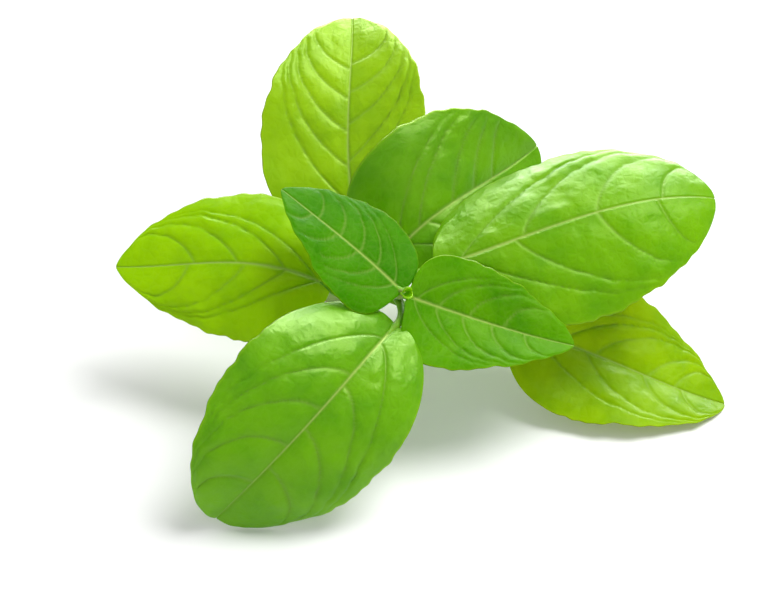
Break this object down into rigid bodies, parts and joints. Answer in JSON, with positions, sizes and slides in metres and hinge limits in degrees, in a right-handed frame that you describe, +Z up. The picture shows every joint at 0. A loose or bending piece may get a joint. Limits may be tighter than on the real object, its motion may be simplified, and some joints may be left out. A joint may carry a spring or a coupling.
{
  "type": "basil sprig",
  "caption": "Cut tip of a sweet basil shoot with broad glossy leaves in pairs around a small bud, resting on its leaf tips and the cut end of its square stem.",
  "frame": {"origin": "centre of the bounding box, on the surface that the sprig rests on", "axes": "+Z up, +X along the spread of the left and right leaves, +Y towards the cut end of the stem"},
  "size_m": [0.1486, 0.1164, 0.0692],
  "materials": {
    "stem": "fresh green stem with fine hairs, browned at the cut end",
    "inner_left_leaf": "fresh young leaf, deep green and glossy",
    "inner_right_leaf": "fresh young leaf, deep green and glossy",
    "front_leaf": "fresh leaf, mid green and glossy with a pale midrib",
    "right_leaf": "fresh leaf, bright green and satin with a pale midrib",
    "left_leaf": "fresh leaf, yellow green and satin with a pale midrib",
    "lower_right_leaf": "fresh leaf, yellow green and satin with a pale midrib",
    "back_right_leaf": "fresh leaf, darker green and satin with a pale midrib",
    "back_left_leaf": "fresh leaf, light yellow green and satin with a cream midrib",
    "bud": "tender lime green leaflets"
  },
  "bodies": {
    "root": {"stem": "stem", "inner_left_leaf": "inner_left_leaf", "inner_right_leaf": "inner_right_leaf", "front_leaf": "front_leaf", "right_leaf": "right_leaf", "left_leaf": "left_leaf", "lower_right_leaf": "lower_right_leaf", "back_right_leaf": "back_right_leaf", "back_left_leaf": "back_left_leaf", "bud_leaflet_lower": "bud", "bud_leaflet_upper": "bud"}
  },
  "joints": []
}
